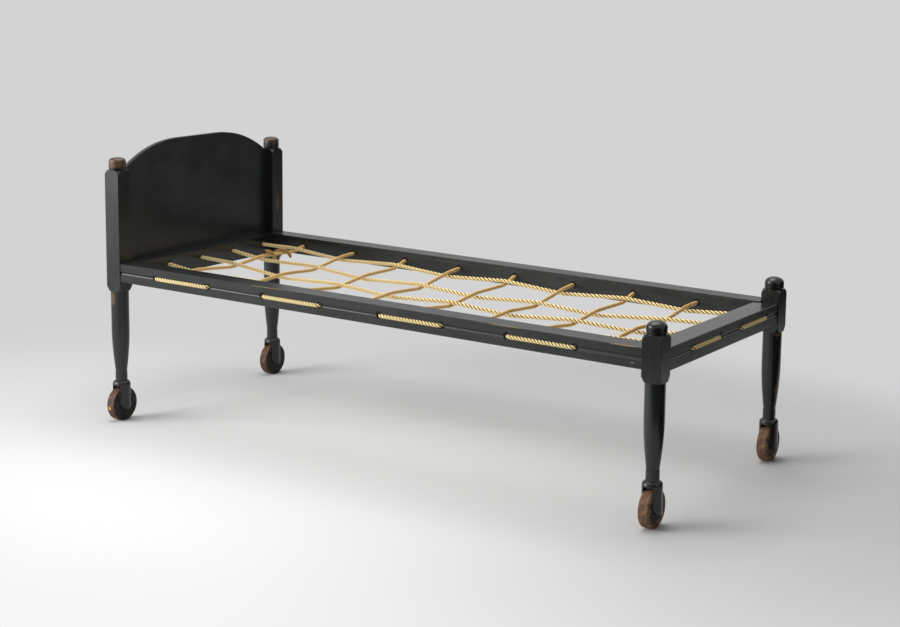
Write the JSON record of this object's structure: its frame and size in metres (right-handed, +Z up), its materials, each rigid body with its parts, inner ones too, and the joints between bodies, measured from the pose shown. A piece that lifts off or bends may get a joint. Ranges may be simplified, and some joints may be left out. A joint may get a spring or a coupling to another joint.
{
  "type": "rope bed",
  "caption": "Single rope bed with turned posts on wooden wheels, square rails laced with rope in a woven net, and a low curved panel headboard.",
  "frame": {"origin": "on the floor under the middle of the bed's box", "axes": "+X runs from the head to the foot, +Y across to the far side, +Z up"},
  "size_m": [1.9858, 0.878, 0.888],
  "materials": {
    "frame_paint": "dark green-grey painted wood, semi-gloss and worn",
    "wheel_wood": "worn dark wood",
    "axle_iron": "dull dark iron",
    "crosswise_cord": "laid three-strand rope, dull tan",
    "lengthwise_cord": "laid three-strand rope, golden"
  },
  "bodies": {
    "frame": {"head_post_near": "frame_paint", "head_post_far": "frame_paint", "foot_post_near": "frame_paint", "foot_post_far": "frame_paint", "side_rail_near": "frame_paint", "side_rail_far": "frame_paint", "head_rail": "frame_paint", "foot_rail": "frame_paint", "headboard": "frame_paint", "side_rail_pegs": "frame_paint", "end_rail_pegs": "frame_paint", "axle_head_near": "axle_iron", "axle_head_far": "axle_iron", "axle_foot_near": "axle_iron", "axle_foot_far": "axle_iron", "crosswise_rope": "crosswise_cord", "lengthwise_rope": "lengthwise_cord", "crosswise_knot_head": "crosswise_cord", "crosswise_knot_foot": "crosswise_cord", "lengthwise_knot_near": "lengthwise_cord", "lengthwise_knot_far": "lengthwise_cord", "tied_rope_end": "crosswise_cord"},
    "wheel_head_near": {"wheel_head_near": "wheel_wood"},
    "wheel_head_far": {"wheel_head_far": "wheel_wood"},
    "wheel_foot_near": {"wheel_foot_near": "wheel_wood"},
    "wheel_foot_far": {"wheel_foot_far": "wheel_wood"}
  },
  "joints": [
    {"name": "wheel_head_near_spin", "type": "hinge", "parent": "frame", "child": "wheel_head_near", "pos_m": [-0.93989, -0.385, 0.054], "axis": [1, 0, 0], "continuous": true},
    {"name": "wheel_head_far_spin", "type": "hinge", "parent": "frame", "child": "wheel_head_far", "pos_m": [-0.93989, 0.385, 0.054], "axis": [1, 0, 0], "continuous": true},
    {"name": "wheel_foot_near_spin", "type": "hinge", "parent": "frame", "child": "wheel_foot_near", "pos_m": [0.96011, -0.385, 0.054], "axis": [1, 0, 0], "continuous": true},
    {"name": "wheel_foot_far_spin", "type": "hinge", "parent": "frame", "child": "wheel_foot_far", "pos_m": [0.96011, 0.385, 0.054], "axis": [1, 0, 0], "continuous": true}
  ]
}
